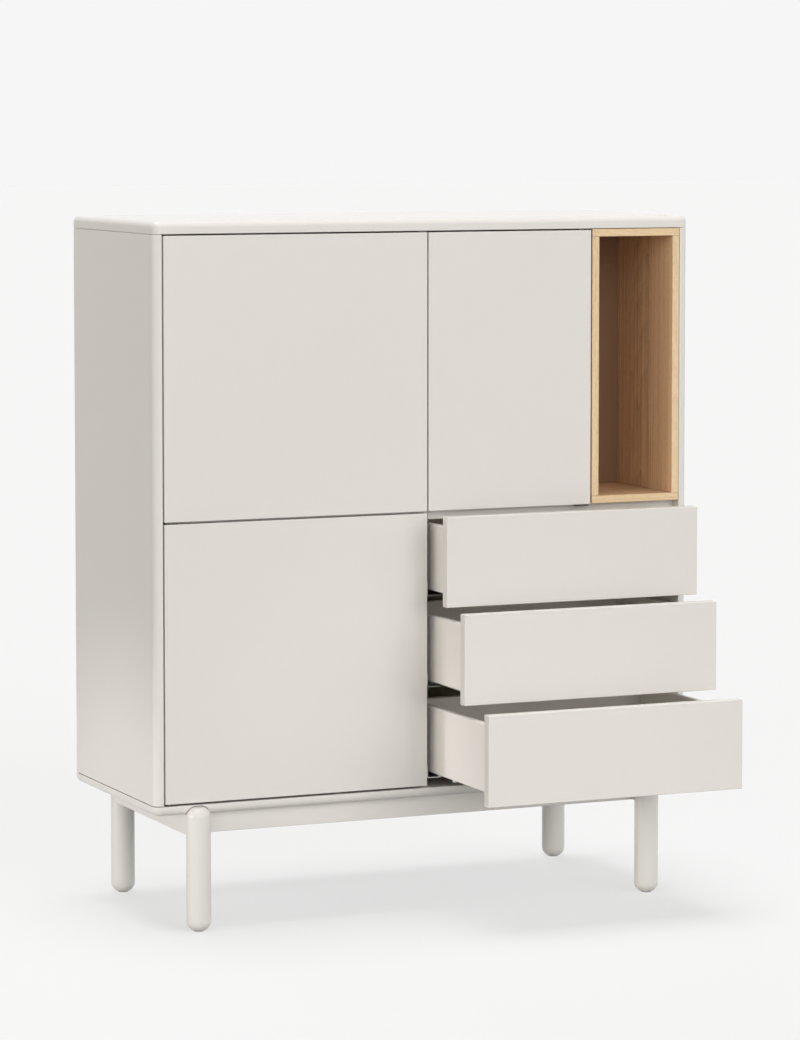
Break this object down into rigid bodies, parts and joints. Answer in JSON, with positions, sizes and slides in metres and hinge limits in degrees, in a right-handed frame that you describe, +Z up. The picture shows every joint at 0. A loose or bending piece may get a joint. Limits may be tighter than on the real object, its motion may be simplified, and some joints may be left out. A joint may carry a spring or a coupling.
{
  "type": "tall sideboard",
  "caption": "Tall lacquered sideboard with inset handle-less doors, drawers on runners and an open oak niche, on a base frame with round legs.",
  "frame": {"origin": "on the floor under the middle of the whole part as it stands with its drawers drawn out", "axes": "+Z up, -Y out of the fronts, +X to the right of someone facing the fronts"},
  "size_m": [1, 0.639, 1.192],
  "materials": {
    "cream_lacquer": "satin lacquer",
    "oak": "oiled, matt",
    "painted_board": "painted, matt",
    "zinc_steel": "zinc plated",
    "grey_plastic": "moulded"
  },
  "bodies": {
    "cabinet": {"top_panel": "cream_lacquer", "bottom_panel": "cream_lacquer", "left_side_panel": "cream_lacquer", "right_side_panel": "cream_lacquer", "centre_divider": "cream_lacquer", "niche_divider": "cream_lacquer", "back_panel": "painted_board", "left_fixed_shelf": "cream_lacquer", "right_fixed_shelf": "cream_lacquer", "upper_left_shelf": "cream_lacquer", "lower_left_shelf": "cream_lacquer", "upper_middle_shelf": "cream_lacquer", "niche_top_board": "oak", "niche_bottom_board": "oak", "niche_left_board": "oak", "niche_right_board": "oak", "niche_back_board": "oak", "front_base_rail": "cream_lacquer", "back_base_rail": "cream_lacquer", "left_base_rail": "cream_lacquer", "right_base_rail": "cream_lacquer", "front_left_leg": "cream_lacquer", "front_right_leg": "cream_lacquer", "back_left_leg": "cream_lacquer", "back_right_leg": "cream_lacquer", "upper_left_pivot_pin": "zinc_steel", "upper_middle_pivot_pin": "zinc_steel", "lower_left_pivot_pin": "zinc_steel", "left_pivot_plate": "zinc_steel", "middle_pivot_plate": "zinc_steel", "upper_left_latch_body": "grey_plastic", "lower_left_latch_body": "grey_plastic", "upper_middle_latch_body": "grey_plastic", "drawer_1_left_cabinet_rail": "zinc_steel", "drawer_1_right_cabinet_rail": "zinc_steel", "drawer_2_left_cabinet_rail": "zinc_steel", "drawer_2_right_cabinet_rail": "zinc_steel", "drawer_3_left_cabinet_rail": "zinc_steel", "drawer_3_right_cabinet_rail": "zinc_steel"},
    "upper_left_swing": {"upper_left_door": "cream_lacquer"},
    "lower_left_swing": {"lower_left_door": "cream_lacquer"},
    "upper_middle_swing": {"upper_middle_door": "cream_lacquer"},
    "upper_left_plunger": {"upper_left_latch_plunger": "zinc_steel"},
    "lower_left_plunger": {"lower_left_latch_plunger": "zinc_steel"},
    "upper_middle_plunger": {"upper_middle_latch_plunger": "zinc_steel"},
    "drawer_1": {"drawer_1_front": "cream_lacquer", "drawer_1_walls": "cream_lacquer", "drawer_1_bottom": "painted_board", "drawer_1_left_drawer_rail": "zinc_steel", "drawer_1_right_drawer_rail": "zinc_steel"},
    "drawer_2": {"drawer_2_front": "cream_lacquer", "drawer_2_walls": "cream_lacquer", "drawer_2_bottom": "painted_board", "drawer_2_left_drawer_rail": "zinc_steel", "drawer_2_right_drawer_rail": "zinc_steel"},
    "drawer_3": {"drawer_3_front": "cream_lacquer", "drawer_3_walls": "cream_lacquer", "drawer_3_bottom": "painted_board", "drawer_3_left_drawer_rail": "zinc_steel", "drawer_3_right_drawer_rail": "zinc_steel"}
  },
  "joints": [
    {"name": "upper_left_hinge", "type": "hinge", "parent": "cabinet", "child": "upper_left_swing", "pos_m": [-0.4725, -0.07, 0.92975], "axis": [0, 0, -1], "range_deg": [0, 95]},
    {"name": "lower_left_hinge", "type": "hinge", "parent": "cabinet", "child": "lower_left_swing", "pos_m": [-0.4725, -0.07, 0.45225], "axis": [0, 0, -1], "range_deg": [0, 95]},
    {"name": "upper_middle_hinge", "type": "hinge", "parent": "cabinet", "child": "upper_middle_swing", "pos_m": [0.3022, -0.07, 0.92975], "axis": [0, 0, 1], "range_deg": [0, 95]},
    {"name": "upper_left_latch_slide", "type": "slide", "parent": "cabinet", "child": "upper_left_plunger", "axis": [0, -1, 0], "range_m": [0, 0.01]},
    {"name": "lower_left_latch_slide", "type": "slide", "parent": "cabinet", "child": "lower_left_plunger", "axis": [0, -1, 0], "range_m": [0, 0.01]},
    {"name": "upper_middle_latch_slide", "type": "slide", "parent": "cabinet", "child": "upper_middle_plunger", "axis": [0, -1, 0], "range_m": [0, 0.01]},
    {"name": "drawer_1_slide", "type": "slide", "parent": "cabinet", "child": "drawer_1", "axis": [0, -1, 0], "range_m": [-0.076, 0.186]},
    {"name": "drawer_2_slide", "type": "slide", "parent": "cabinet", "child": "drawer_2", "axis": [0, -1, 0], "range_m": [-0.148, 0.114]},
    {"name": "drawer_3_slide", "type": "slide", "parent": "cabinet", "child": "drawer_3", "axis": [0, -1, 0], "range_m": [-0.244, 0.018]}
  ],
  "couplings": [
    {"joint": "upper_left_latch_slide", "follows": "upper_left_hinge", "m_per_rad": 0.006},
    {"joint": "lower_left_latch_slide", "follows": "lower_left_hinge", "m_per_rad": 0.006},
    {"joint": "upper_middle_latch_slide", "follows": "upper_middle_hinge", "m_per_rad": 0.006}
  ]
}
